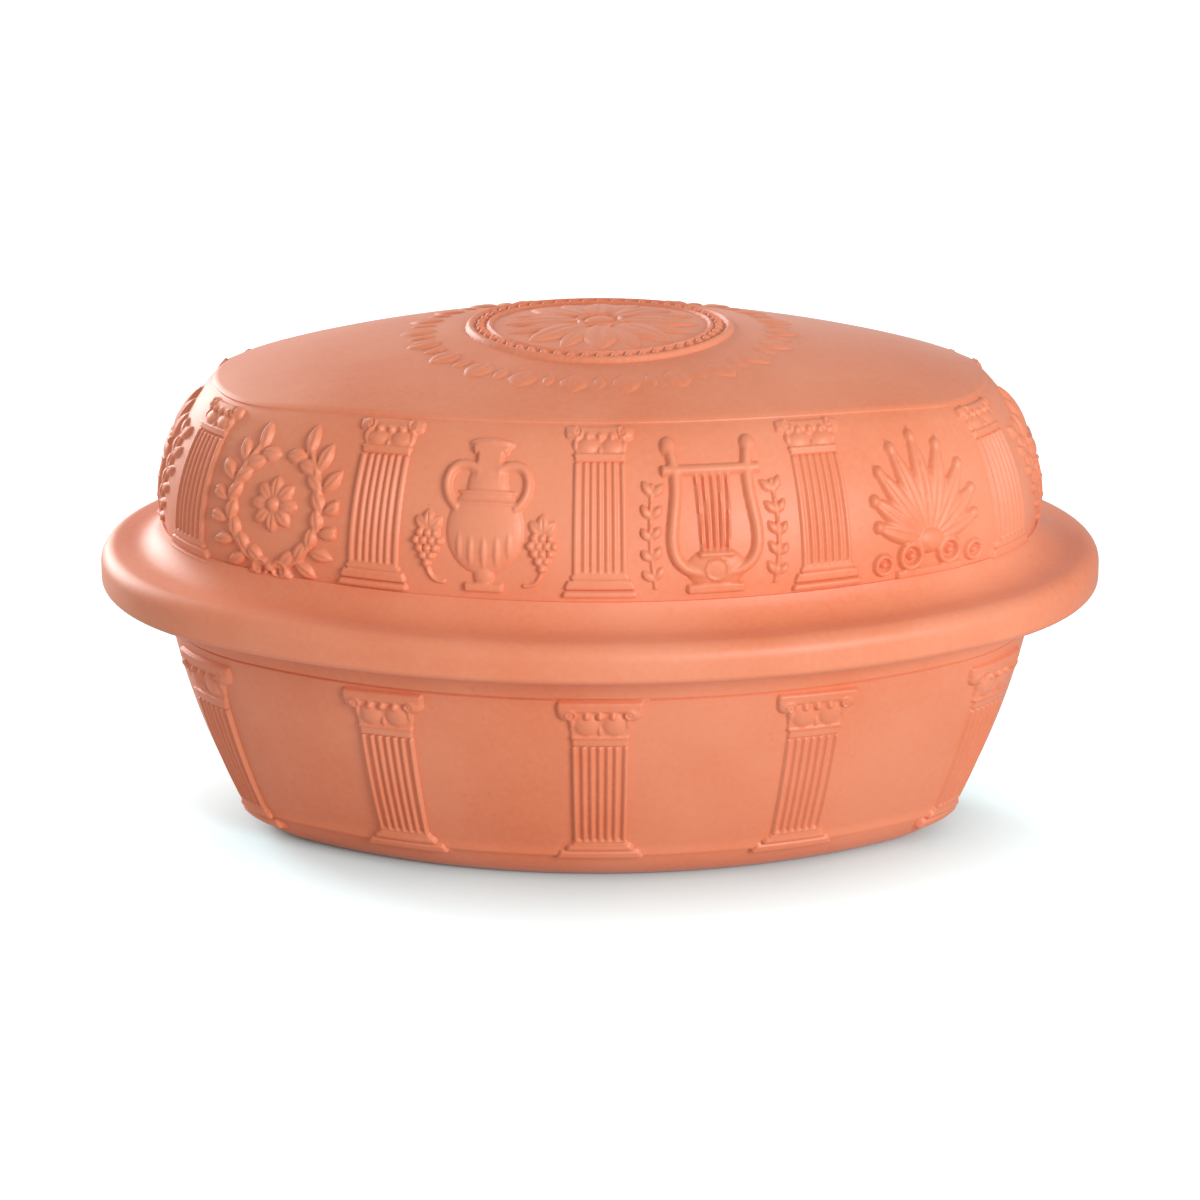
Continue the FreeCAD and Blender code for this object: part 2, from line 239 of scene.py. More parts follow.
def spin_section(name, section):
    """A shell: the section, an open line of (out, z) points, carried round the oval."""
    deselect()
    bpy.ops.mesh.primitive_circle_add(vertices=len(section), radius=WIDTH * MM)
    shell = bpy.context.object
    shell.name = name
    shell.data.name = name
    cx, cy, radius, middle, half, _ = ARCS[0]
    out, z = np.array(section).T
    reach = radius + out
    start = middle - half
    put(shell, np.column_stack([cx + reach * math.cos(start), cy + reach * math.sin(start), z]))
    closing = {0, len(section) - 1}
    pick(shell)
    for edge in shell.data.edges:
        edge.select = set(edge.vertices) == closing
    for vertex in shell.data.vertices:
        vertex.select = vertex.index in closing
    bpy.ops.object.mode_set(mode="EDIT")
    bpy.ops.mesh.select_mode(type="EDGE")
    bpy.ops.mesh.delete(type="EDGE_FACE")
    bpy.ops.mesh.select_mode(type="VERT")
    bpy.ops.mesh.select_all(action="SELECT")
    for cx, cy, radius, middle, half, steps in ARCS:
        bpy.ops.mesh.spin(steps=steps, angle=-2 * half, center=(cx * MM, cy * MM, 0), axis=(0, 0, 1))
    bpy.ops.mesh.select_all(action="SELECT")
    bpy.ops.mesh.remove_doubles(threshold=0.01 * MM)
    leave_edit()
    return shell


def close_shell(shell, rings):
    """Close the hole in the middle with rings that shrink to a point."""
    edit_rim(shell)
    for ring in range(rings, 1, -1):
        share = (ring - 1) / ring
        bpy.ops.mesh.extrude_region()
        bpy.ops.transform.resize(value=(share, share, 1), center_override=(0, 0, 0))
    bpy.ops.mesh.extrude_region()
    bpy.ops.mesh.merge(type="COLLAPSE")
    bpy.ops.mesh.select_all(action="SELECT")
    bpy.ops.mesh.normals_make_consistent(inside=False)
    leave_edit()


def smooth_shade(piece, degrees):
    pick(piece)
    bpy.ops.object.shade_smooth_by_angle(angle=math.radians(degrees))


CORE = -74.0
CORE_RINGS = 8

# %% [markdown]
# ## The dish
# A flat foot with a generous curve, a wall that leans out, a fine ledge high on the wall, and a
# flared rim that the lid's skirt hides. All of it is one section.

# %% Make the dish
FOOT_CURVE = 21.0
FOOT_RISE = 19.9
FOOT_STEP = 0.8
FOOT_LINE = 11.8
FOOT_BEAD = 0.5
LEDGE = 77.4
LEDGE_GROOVE = 0.7
LEDGE_PROUD = 1.0
RIM_UNDER = 89.0
RIM_TOP = 96.0
RIM_COVE = 9.0
RIM_EDGE = -8.2
RIM_ROUND = 2.0
FLOOR_CORNER = 16.0


def dish_section():
    """Rows close beside a line or a ledge keep its edges crisp."""
    foot = (float(DISH_WALL.out(FOOT_RISE, -FOOT_CURVE - FOOT_STEP)), FOOT_RISE)
    foot_start = (foot[0] + math.sqrt(FOOT_CURVE ** 2 - FOOT_RISE ** 2), 0.0)
    foot_end = touch(DISH_WALL, foot, DISH_WALL.radius - FOOT_STEP)
    cove_z = RIM_UNDER - RIM_COVE
    cove = (float(DISH_WALL.out(cove_z, LEDGE_PROUD + RIM_COVE)), cove_z)
    cove_start = touch(DISH_WALL, cove, DISH_WALL.radius + LEDGE_PROUD)
    corner_z = THICKNESS + FLOOR_CORNER
    corner = (float(DISH_WALL.out(corner_z, -THICKNESS - FLOOR_CORNER)), corner_z)
    corner_end = touch(DISH_WALL, corner, DISH_WALL.radius - THICKNESS)
    section = [(CORE, 0.0), foot_start] + round_to(foot, foot_start, foot_end)
    section += wall_run(DISH_WALL, FOOT_LINE - 0.4, FOOT_LINE, 2, -FOOT_STEP)[:1]
    section += wall_run(DISH_WALL, FOOT_LINE, FOOT_LINE + 0.9, 3, FOOT_BEAD)
    section += wall_run(DISH_WALL, FOOT_LINE + 2.0, LEDGE - 1.4, 22)
    section += wall_run(DISH_WALL, LEDGE - 0.9, LEDGE - 0.3, 2, -LEDGE_GROOVE)
    section += wall_run(DISH_WALL, LEDGE, cove_start[1], 3, LEDGE_PROUD)
    section += round_to(cove, cove_start, (cove[0], RIM_UNDER))
    low = (RIM_EDGE - RIM_ROUND, RIM_UNDER)
    section += [low] + round_to((low[0], low[1] + RIM_ROUND), low, (RIM_EDGE, RIM_UNDER + RIM_ROUND))
    section += [(RIM_EDGE, RIM_TOP - 0.5), (RIM_EDGE - 0.5, RIM_TOP)]
    section += wall_run(DISH_WALL, RIM_TOP, corner_end[1], 14, -THICKNESS)
    section += round_to(corner, corner_end, (corner[0], THICKNESS))
    return section + [(CORE, THICKNESS)]


dish = spin_section("dish", dish_section())
close_shell(dish, CORE_RINGS)
smooth_shade(dish, 35)
print("dish:", len(dish.data.polygons), "faces, height", round(places(dish)[:, 2].max(), 2), "mm")

# %% [markdown]
# ## The lid
# The skirt drops over the dish's rim, the flange stands out all round as a grip, a deep cove leads up
# to the frieze wall, and the crowned plateau cuts the wall off in a soft edge. The plateau and the
# roof under it are drawn flat, above the pot, and then lowered onto their curves.

# %% Make the lid
SKIRT_LOW = 89.6
SKIRT_WIDTH = 7.0
ROUND_LOW = 2.6
ROUND_HIGH = 6.0
FLANGE_TOP = 103.6
LID_COVE = 12.0
FRIEZE_LOW = 112.0
WALL_ROWS = 21
RIDGE_GROOVE = 0.45
PLATEAU_SHEET = 230.0
PLATEAU_ROWS = (CORE, -70.0, -65.0, -60.0, -55.5, -51.5)
ROOF_SHEET = 210.0
ROOF_ROWS = (-62.0, CORE)
INNER_ROW = 107.0
CLEAR = 0.02
EDGE_ROUND = 1.1


def lid_section():
    """The shares give the wall's rows; they crowd at the groove under the plateau's edge."""
    cove_z = FLANGE_TOP + LID_COVE
    cove = (float(LID_WALL.out(cove_z, LID_COVE)), cove_z)
    drop = cove_z - FRIEZE_LOW
    cove_end = (cove[0] - math.sqrt(LID_COVE ** 2 - drop ** 2), FRIEZE_LOW)
    rows = [(share, 0.0) for share in np.linspace(0, 0.955, WALL_ROWS)]
    rows += [(0.964, RIDGE_GROOVE), (0.974, RIDGE_GROOVE), (0.982, 0.0), (1.0, 0.0)]
    height = FRONT_TOP - FRIEZE_LOW - CLEAR
    wall = []
    for share, groove in rows:
        z = FRIEZE_LOW + CLEAR + share * height
        wall.append((float(LID_WALL.out(z)) - groove, z))
    section = [(out, PLATEAU_SHEET) for out in PLATEAU_ROWS]
    section += list(reversed(wall))
    section += list(reversed(round_to(cove, (cove[0], FLANGE_TOP), cove_end)))
    section += [(cove[0], FLANGE_TOP), (-ROUND_HIGH, FLANGE_TOP)]
    section += round_to((-ROUND_HIGH, FLANGE_TOP - ROUND_HIGH), (-ROUND_HIGH, FLANGE_TOP),
                        (0.0, FLANGE_TOP - ROUND_HIGH))
    section += [(0.0, SKIRT_LOW + ROUND_LOW)]
    section += round_to((-ROUND_LOW, SKIRT_LOW + ROUND_LOW), (0.0, SKIRT_LOW + ROUND_LOW),
                        (-ROUND_LOW, SKIRT_LOW))
    section += [(-SKIRT_WIDTH, SKIRT_LOW), (-SKIRT_WIDTH, RIM_TOP)]
    belly_out = float(LID_WALL.out(LID_WALL.height, -THICKNESS))
    section += [(belly_out, RIM_TOP), (belly_out, INNER_ROW)]
    section += wall_run(LID_WALL, LID_WALL.height, FRONT_ROOF, 14, -THICKNESS)
    return section + [(out, ROOF_SHEET) for out in ROOF_ROWS]


def settle_crown(shell):
    """Lower the flat sheets onto the crown, and stretch the wall's rows up to its edge."""
    spots = places(shell)
    x, y, z = spots.T
    out, way_x, way_y = plan_of(x, y)
    edge = np.zeros(len(spots), bool)
    for proud, low, top in ((0.0, FRIEZE_LOW, FRONT_TOP), (-THICKNESS, LID_WALL.height, FRONT_ROOF)):
        safe = np.clip(z, low, top)
        beside = out - LID_WALL.out(safe, proud)
        rows = (z > low + 0.001) & (z < top + 0.01) & (np.abs(beside) < 0.8)
        share = (z[rows] - low) / (top - low)
        tops = wall_top(x[rows], y[rows], proud)
        height = low + share * (tops - low)
        step = LID_WALL.out(height, proud) + beside[rows] - out[rows]
        spots[rows] += np.column_stack([way_x[rows] * step, way_y[rows] * step, height - z[rows]])
        if proud == 0.0:
            edge[np.where(rows)[0][share > 0.999]] = True
    for sheet, sunk in ((PLATEAU_SHEET, 0.0), (ROOF_SHEET, THICKNESS)):
        flat = np.abs(z - sheet) < 0.5
        spots[flat, 2] = crown(x[flat], y[flat], sunk)
    put(shell, spots)
    return edge


lid = spin_section("lid_shell", lid_section())
close_shell(lid, CORE_RINGS)
plateau_edge = settle_crown(lid)
edit_points(lid, plateau_edge)
bpy.ops.mesh.bevel(offset=EDGE_ROUND * MM, segments=4, profile=0.5)
bpy.ops.mesh.select_all(action="SELECT")
bpy.ops.mesh.normals_make_consistent(inside=False)
leave_edit()
smooth_shade(lid, 35)
print("lid:", len(lid.data.polygons), "faces, edge points", int(plateau_edge.sum()))

# %% [markdown]
# ## Carving by pressing
# On the real pot the ornament is part of the mould, so clay and carving are one soft skin. The same is
# done here: a stamp is built flat from simple solids, a fine sheet of clay is dropped onto it with
# Shrinkwrap, and a Smooth modifier softens it as slip softens a mould's edges. Separate solids stuck
# to the wall would keep hard seams that fired clay doesn't have.

# %% Tools for a stamp
STAMP = []


def shaped(scale):
    """Give the new primitive its size, and count it to the stamp."""
    piece = bpy.context.object
    piece.scale = [size * MM for size in scale]
    bpy.ops.object.transform_apply(location=True, rotation=True, scale=True)
    STAMP.append(piece)
    return piece


def block(x, y, width, height, proud, soft=0.5, taper=0.0):
    """A block with soft edges. With a taper it grows wider, or narrower, from bottom to top."""
    deselect()
    bpy.ops.mesh.primitive_cube_add(size=1, location=(x * MM, y * MM, 0))
    piece = shaped((width, height, 2 * proud))
    edit_all(piece)
    bpy.ops.mesh.bevel(offset=min(soft, proud * 0.8) * MM, segments=3)
    leave_edit()
    spots = places(piece)
    spots[:, 0] += (spots[:, 0] - x) * taper * (spots[:, 1] - y) / (height / 2)
    put(piece, spots)


def ball(x, y, half_width, half_height, proud, turn=0.0):
    deselect()
    bpy.ops.mesh.primitive_uv_sphere_add(
        segments=28, ring_count=14, radius=1, location=(x * MM, y * MM, 0), rotation=(0, 0, turn))
    return shaped((half_width, half_height, proud))


def rod(start, end, radius, proud):
    dx, dy = end[0] - start[0], end[1] - start[1]
    deselect()
    bpy.ops.mesh.primitive_cylinder_add(
        vertices=20, radius=1, depth=1, rotation=(math.pi / 2, 0, math.atan2(-dx, dy)),
        location=((start[0] + end[0]) / 2 * MM, (start[1] + end[1]) / 2 * MM, 0))
    shaped((radius, proud, math.hypot(dx, dy)))


def hoop(x, y, radius, thick, proud):
    deselect()
    bpy.ops.mesh.primitive_torus_add(
        location=(x * MM, y * MM, 0), major_radius=radius, minor_radius=thick,
        major_segments=96, minor_segments=10)
    shaped((1, 1, proud / thick))


def leaf(start, end, breadth, proud):
    """A pointed leaf with a groove along its middle."""
    dx, dy = end[0] - start[0], end[1] - start[1]
    piece = ball(0, 0, 1 / MM, 1 / MM, 1 / MM)
    spots = places(piece) * MM
    taper = 1 - 0.55 * spots[:, 1] ** 2
    groove = 1 - 0.3 * np.exp(-(spots[:, 0] / 0.16) ** 2)
    half = math.hypot(dx, dy) / 2
    local = np.column_stack([
        spots[:, 0] * taper * breadth / 2, spots[:, 1] * half, spots[:, 2] * groove * proud])
    turn = math.atan2(-dx, dy)
    spin = np.array([[math.cos(turn), -math.sin(turn), 0], [math.sin(turn), math.cos(turn), 0], [0, 0, 1]])
    middle = ((start[0] + end[0]) / 2, (start[1] + end[1]) / 2, 0)
    put(piece, local @ spin.T + middle)


def strand(points, radius, proud):
    """A bent rod through five places, as a smooth curve turned to a mesh."""
    deselect()
    bpy.ops.curve.primitive_nurbs_path_add(location=(0, 0, 0))
    piece = bpy.context.object
    spline = piece.data.splines[0]
    for point, (x, y) in zip(spline.points, points):
        point.co = (x * MM, y * MM, 0, 1)
    piece.data.bevel_depth = radius * MM
    piece.data.bevel_resolution = 3
    piece.data.use_fill_caps = True
    bpy.ops.object.convert(target="MESH")
    piece = bpy.context.object
    spots = places(piece)
    spots[:, 2] *= proud / radius
    put(piece, spots)
    STAMP.append(piece)


def pair(tool, *sizes):
    """The same solid on both sides of the middle. The first size holds the places."""
    for side in (-1, 1):
        spots = sizes[0]
        if isinstance(spots[0], (int, float)):
            tool(side * spots[0], spots[1], *sizes[1:])
        else:
            tool([(side * x, y) for x, y in spots], *sizes[1:])


# %% [markdown]
# ## Pressing a sheet and wrapping it on a wall
# The pressed sheet is flat. It is copied for each place on the pot and bent round the oval and over
# the bulge of the wall. Its border dips under the wall, its back is closed inside the clay, and
# nothing of it stands above the plateau's edge.

# %% Press, close and wrap
SINK = 0.1
BORDER = 1.0
BORDER_DIP = 0.7
BACK = 1.6
DROP_HEIGHT = 20.0


def press(name, width, low, high, cell, disc=False):
    """Join the stamp, drop a fine sheet onto it, soften it, and close its back."""
    deselect()
    middle = (low + high) / 2
    bpy.ops.mesh.primitive_plane_add(size=(width + high - low) * MM, location=(0, middle * MM, 0))
    board = bpy.context.object
    for piece in STAMP:
        piece.select_set(True)
    bpy.ops.object.join()
    STAMP.clear()
    deselect()
    bpy.ops.mesh.primitive_grid_add(
        x_subdivisions=round(width / cell), y_subdivisions=round((high - low) / cell), size=1,
        location=(0, middle * MM, DROP_HEIGHT * MM))
    sheet = bpy.context.object
    sheet.name = name
    sheet.scale = (width * MM, (high - low) * MM, 1)
    bpy.ops.object.transform_apply(location=True, rotation=True, scale=True)
    if disc:
        spots = places(sheet)
        edit_points(sheet, np.hypot(spots[:, 0], spots[:, 1] - middle) > width / 2)
        bpy.ops.mesh.delete(type="VERT")
        leave_edit()
    pick(sheet)
    bpy.ops.object.modifier_add(type="SHRINKWRAP")
    wrap = sheet.modifiers[-1]
    wrap.target = board
    wrap.wrap_method = "PROJECT"
    wrap.use_project_z = True
    wrap.use_positive_direction = False
    wrap.use_negative_direction = True
    bpy.ops.object.modifier_apply(modifier=wrap.name)
    bpy.ops.object.modifier_add(type="SMOOTH")
    soften = sheet.modifiers[-1]
    soften.factor = 0.5
    soften.iterations = 1
    soften.use_x = False
    soften.use_y = False
    bpy.ops.object.modifier_apply(modifier=soften.name)
    bpy.data.objects.remove(board)
    spots = places(sheet)
    if disc:
        inside = width / 2 - np.hypot(spots[:, 0], spots[:, 1] - middle)
    else:
        from_side = width / 2 - np.abs(spots[:, 0])
        from_end = (high - low) / 2 - np.abs(spots[:, 1] - middle)
        inside = np.minimum(from_side, from_end)
    spots[:, 2] -= SINK + BORDER_DIP * np.clip(1 - inside / BORDER, 0, 1)
    put(sheet, spots)
    edit_rim(sheet)
    bpy.ops.mesh.extrude_region()
    bpy.ops.transform.translate(value=(0, 0, -BACK * MM))
    for share in (0.6, 0.4):
        bpy.ops.mesh.extrude_region()
        bpy.ops.transform.resize(value=(share, share, 1), center_override=(0, middle * MM, 0))
    bpy.ops.mesh.extrude_region()
    bpy.ops.mesh.merge(type="COLLAPSE")
    leave_edit()
    return sheet


def girth_at(wall, z):
    return sum(2 * half * (radius + float(wall.out(z))) for _, _, radius, _, half, _ in ARCS)


def plan_spot(distance, out):
    """Where a distance round from the front middle leads to: the place, and the way out there."""
    lengths = [2 * half * (radius + out) for _, _, radius, _, half, _ in ARCS]
    left = (distance + lengths[0] / 2) % sum(lengths)
    spots = np.zeros((len(left), 4))
    done = np.zeros(len(left), bool)
    for (cx, cy, radius, way, half, _), span in zip(ARCS, lengths):
        here = ~done & (left <= span)
        angle = way - half + left / (radius + out)
        found = np.column_stack([cx + radius * np.cos(angle), cy + radius * np.sin(angle),
                                 np.cos(angle), np.sin(angle)])
        spots[here] = found[here]
        done |= here
        left = left - span
    return spots.T


END_DROP = 4.5
RIDGE_GAP = 0.3


def drop_at(wall, x, y):
    """Ornament hangs lower towards the ends. On the lid it follows the edge of the plateau."""
    if wall is LID_WALL:
        return FRONT_TOP - wall_top(x, y)
    return END_DROP * (x / (LENGTH / 2)) ** 2


def wrapped(sheet, name, wall, middle, distance, low, high):
    """A copy of the sheet on the wall, its middle at a distance round from the front."""
    pick(sheet)
    bpy.ops.object.duplicate()
    piece = bpy.context.object
    piece.name = name
    piece.data.name = name
    along, z, proud = places(piece).T
    out = float(wall.out(middle))
    x, y, way_x, way_y = plan_spot(distance + along, out)
    mid_x, mid_y, _, _ = plan_spot(np.array([distance]), out)
    share = np.clip((z - low) / (high - low), 0, 1)
    z = z - (1 - share) * drop_at(wall, mid_x, mid_y) - share * drop_at(wall, x, y)
    lean_out = (wall.out(z) - wall.middle) / wall.radius
    lean_up = (z - wall.height) / wall.radius
    reach = wall.out(z) + proud * lean_out
    height = z + proud * lean_up
    if wall is LID_WALL:
        height = np.minimum(height, wall_top(x, y) - RIDGE_GAP)
    put(piece, np.column_stack([x + reach * way_x, y + reach * way_y, height]))
    smooth_shade(piece, 60)
    return piece


RELIEF = []

# %% [markdown]
# ## The columns
# Ten columns stand round each piece: a flared foot, two steps, a shaft with six grooves, a plain neck,
# two swelling leaves, three beads and a slab that rolls into a scroll at each end. The dish's columns
# are wider and taller than the lid's, so each kind is a list of sizes for one stamp.

# %% Build the column stamp
COLUMN_COUNT = 10
GROOVES = 6

# Heights above the ground from foot to top, then widths, the spacing of grooves and beads, the scrolls'
# places, how far the relief stands out, and the sheet's cell. The cell is as fine as the grooves need.
LID_COLUMN = {
    "foot": 113.6, "step": 116.5, "shaft": 121.6, "groove": 156.8, "neck": 158.6, "slab": 163.2,
    "top": 166.3, "bead": 163.5, "scroll": 164.6,
    "foot_width": 24.6, "step_width": 22.4, "shaft_width": 17.7, "leaf_width": 18.2, "slab_width": 24.4,
    "pitch": 2.5, "bead_pitch": 4.3, "bead_high": 1.2, "scroll_x": 8.1, "roll_x": 9.4, "roll_half": 2.1,
    "depth": 1.0, "foot_proud": 1.9, "flare": -0.03, "cell": 0.39}
DISH_COLUMN = {
    "foot": 11.4, "step": 15.2, "shaft": 18.6, "groove": 58.9, "neck": 62.5, "slab": 72.2,
    "top": 76.3, "bead": 71.0, "scroll": 71.7,
    "foot_width": 30.4, "step_width": 23.6, "shaft_width": 18.6, "leaf_width": 20.4, "slab_width": 28.0,
    "pitch": 2.75, "bead_pitch": 4.3, "bead_high": 1.8, "scroll_x": 9.6, "roll_x": 10.5, "roll_half": 3.3,
    "depth": 1.25, "foot_proud": 1.7, "flare": -0.08, "cell": 0.42}


def column_stamp(size):
    depth = size["depth"]
    shaft = size["shaft_width"]

    def band(low, high, width, proud, soft=0.4, taper=0.0):
        block(0, (size[low] + size[high]) / 2, width, size[high] - size[low], proud * depth, soft, taper)

    foot_middle = (size["foot"] + size["step"]) / 2 - 0.2
    foot_height = size["step"] - size["foot"] - 0.5
    block(0, foot_middle, size["foot_width"], foot_height, size["foot_proud"], 0.8, size["flare"])
    # The lower step takes nearly two thirds of the rise from the foot to the shaft.
    rise = size["shaft"] - size["step"]
    block(0, size["step"] + 0.32 * rise, size["step_width"], 0.64 * rise, 1.6 * depth, 0.5, -0.06)
    block(0, size["step"] + 0.82 * rise, shaft + 1.2, 0.36 * rise, 1.35 * depth, 0.4)
    band("shaft", "groove", shaft, 0.35)
    band("groove", "neck", shaft, 1.25)
    band("neck", "slab", size["leaf_width"], 0.9, 0.4, 0.07)
    band("slab", "top", size["slab_width"], 1.5, 0.9)
    block(0, size["neck"], shaft + 0.9, 0.8, 1.55 * depth, 0.3)
    block(0, size["shaft"] + 0.5, shaft, 1.0, 1.25 * depth, 0.3)
    tall = size["groove"] - size["shaft"] - 0.6
    middle = (size["groove"] + size["shaft"]) / 2
    for index in range(1, GROOVES):
        x = (index - GROOVES / 2) * size["pitch"]
        rod((x, middle - tall / 2), (x, middle + tall / 2), size["pitch"] * 0.37, 1.35 * depth)
    margin = shaft / 2 - (GROOVES / 2 - 0.14) * size["pitch"]
    pair(block, (shaft / 2 - margin / 2, middle), margin, tall, 1.3 * depth, 0.35)
    leaf_high = (size["slab"] - size["neck"]) / 2
    leaf_middle = size["neck"] + leaf_high
    pair(ball, (shaft * 0.25, leaf_middle + 0.2), shaft * 0.24, leaf_high * 1.05, 1.9 * depth)
    ball(0, leaf_middle - leaf_high * 0.5, 0.9, leaf_high * 0.5, 1.6 * depth)
    pair(ball, (shaft * 0.49, leaf_middle + leaf_high * 0.3), 1.1, leaf_high * 0.8, 1.5 * depth)
    pair(ball, (size["roll_x"], size["scroll"] + 0.1), size["slab_width"] / 2 - size["roll_x"] + 0.2,
         size["roll_half"], 1.9 * depth)
    pair(ball, (size["scroll_x"], size["scroll"]), 2.2, size["roll_half"], 1.5 * depth)
    for index in (-1, 0, 1):
        ball(index * size["bead_pitch"], size["bead"], 1.6, size["bead_high"], 2.4 * depth)
    pair(hoop, (size["scroll_x"], size["scroll"]), 1.45, 0.42, 2.3 * depth)
    pair(ball, (size["scroll_x"], size["scroll"]), 0.6, 0.6, 2.3 * depth)


def stand_columns(kind, wall, middle, size):
    column_stamp(size)
    width = max(size["slab_width"], size["foot_width"]) + 2.6
    sheet = press(kind + "_sheet", width, size["foot"] - 1.2, size["top"] + 0.6, size["cell"])
    pitch = girth_at(wall, middle) / COLUMN_COUNT
    for index in range(COLUMN_COUNT):
        name = f"{kind}_{index + 1}"
        RELIEF.append(wrapped(sheet, name, wall, middle, index * pitch, size["foot"], size["top"]))
    bpy.data.objects.remove(sheet)


stand_columns("lid_column", LID_WALL, 140.1, LID_COLUMN)
stand_columns("dish_column", DISH_WALL, 43.6, DISH_COLUMN)
print("columns:", len(RELIEF), "pieces, faces in one of the lid's:", len(RELIEF[0].data.polygons))

# %% [markdown]
# ## The frieze
# Between the lid's columns stand plain classical motifs: a jar, a lyre, a laurel wreath, a palmette and
# a torch, with sprigs and berries beside them. Each fills its panel, as a frieze does, and each is
# pressed once and set twice round the lid.

# %% Build the motif stamps
def sprig(root, tip, bend, count, size):
    """A laurel sprig: a stem from root to tip, bent sideways, with pairs of leaves."""
    dx, dy = tip[0] - root[0], tip[1] - root[1]
    reach = math.hypot(dx, dy)
    side = (-dy / reach, dx / reach)
    stem = []
    for share in (0, 0.25, 0.5, 0.75, 1):
        sway = bend * math.sin(math.pi * share)
        stem.append((root[0] + dx * share + side[0] * sway, root[1] + dy * share + side[1] * sway))
    strand(stem, 0.8, 1.3)
    for index in range(count):
        share = (index + 0.4) / count
        sway = bend * 0.8 * math.sin(math.pi * share)
        spot = (root[0] + dx * share + side[0] * sway, root[1] + dy * share + side[1] * sway)
        lean = bend * math.pi * math.cos(math.pi * share) / reach
        for hand in (-1, 1):
            way = math.atan2(dy, dx) + math.atan(lean) + hand * 0.72
            leaf(spot, (spot[0] + size * math.cos(way), spot[1] + size * math.sin(way)), size * 0.5, 1.9)


def bunch(x, y):
    """A hanging bunch of berries under a small leaf."""
    for row, count in enumerate((3, 4, 3, 2, 1)):
        for index in range(count):
            ball(x + (index - (count - 1) / 2) * 2.7, y - row * 2.5, 1.6, 1.6, 2.3)
    leaf((x, y + 1), (x - 4.6, y + 5.5), 4.4, 2.0)
    leaf((x, y + 1), (x + 4.6, y + 5.5), 4.4, 2.0)
    leaf((x, y + 1), (x, y + 8), 4.6, 2.2)


def mirrored(tool, root, tip, bend, count, size):
    """The same sprig on both sides of the middle."""
    tool(root, tip, bend, count, size)
    tool((-root[0], root[1]), (-tip[0], tip[1]), -bend, count, size)


# A motif is drawn about the middle of its panel: its places, its half sizes, and how far it stands out.
def amphora():
    block(0, -22.2, 13, 3.0, 1.9)
    ball(0, -18, 3.6, 4.6, 1.9)
    ball(0, -3, 13.2, 15.2, 2.7)
    ball(0, 10.5, 7.2, 8.5, 2.2)
    block(0, 16, 8.6, 10, 1.9)
    block(0, 20.9, 12.5, 1.8, 2.1, 0.5)
    ball(0, 22.6, 8.4, 1.5, 3.0)
    ball(0, 5.2, 12.4, 1.1, 3.2)
    ball(0, 8.6, 10.4, 0.9, 2.9)
    ball(0, -8.6, 1.9, 8.2, 3.1)
    pair(ball, (4.3, -8.2), 1.8, 7.8, 2.95)
    pair(ball, (8.2, -7.0), 1.6, 6.4, 2.5)
    pair(strand, [(3, 15), (13.5, 20.5), (17, 12), (14, 6.5), (9.5, 3.5)], 1.6, 2.2)
    for side in (-1, 1):
        bunch(side * 19.4, -5)
    pair(strand, [(13, -21), (18, -22), (20.5, -17), (19, -13), (19.4, -10)], 0.8, 1.4)


def lyre():
    block(0, -22.2, 19, 3.2, 1.9)
    ball(0, -15.5, 10.4, 7.0, 2.5)
    pair(strand, [(3, -17), (16.5, -17), (19, -4), (8, 7), (14.5, 22.5)], 2.1, 2.5)
    pair(ball, (14.4, 22.2), 3.0, 2.8, 2.6)
    rod((-17, 15.5), (17, 15.5), 1.7, 2.5)
    for index in range(-2, 3):
        rod((index * 2.1, -12), (index * 2.8, 15.5), 0.7, 1.6)
    hoop(0, -15.5, 3.6, 0.7, 3.0)
    block(0, -10.6, 12, 1.8, 2.7)
    mirrored(sprig, (20, -22), (20.5, 12), -2.0, 5, 6.0)


def wreath():
    pair(strand, [(1, -20.5), (14, -22), (21.5, -6), (19, 9), (9, 19)], 1.0, 1.7)
    for index in range(8):
        turn = math.radians(-80 + index * 20)
        root = (19 * math.cos(turn), 19.5 * math.sin(turn) - 1)
        for lean, reach in ((28, 9.5), (122, 8.5)):
            way = turn + math.radians(lean)
            for side in (-1, 1):
                tip = (side * (root[0] + reach * math.cos(way)), root[1] + reach * math.sin(way))
                leaf((side * root[0], root[1]), tip, 5.0, 2.2)
    pair(hoop, (3.8, -21.6), 2.7, 0.9, 2.2)
    ball(0, -21, 2.0, 2.0, 2.7)
    for index in range(8):
        turn = 2 * math.pi * index / 8
        way_x, way_y = math.cos(turn), math.sin(turn)
        leaf((1.5 * way_x, 1.5 * way_y), (9.5 * way_x, 9.5 * way_y), 5.2, 2.1)
    ball(0, 0, 2.6, 2.6, 2.8)


def palmette():
    block(0, -22.2, 26, 3.0, 1.9)
    pair(hoop, (7.6, -16.2), 3.9, 1.3, 2.4)
    pair(ball, (7.6, -16.2), 1.6, 1.6, 2.4)
    pair(hoop, (18.0, -18.0), 3.0, 1.0, 2.1)
    pair(ball, (18.0, -18.0), 1.2, 1.2, 2.1)
    for step in (-4, 4, -3, 3, -2, 2, -1, 1, 0):
        turn = math.radians(90 + 18.5 * step)
        reach = 36 - 1.6 * abs(step) ** 1.5
        tip = (reach * math.cos(turn) * 0.95, -11 + reach * math.sin(turn))
        leaf((0, -12), tip, 7.4, 2.5)
        ball(tip[0] * 0.9, -12 + (tip[1] + 12) * 0.9, 2.2, 2.2, 2.1)
    ball(0, -11.6, 5.8, 4.8, 3.0)


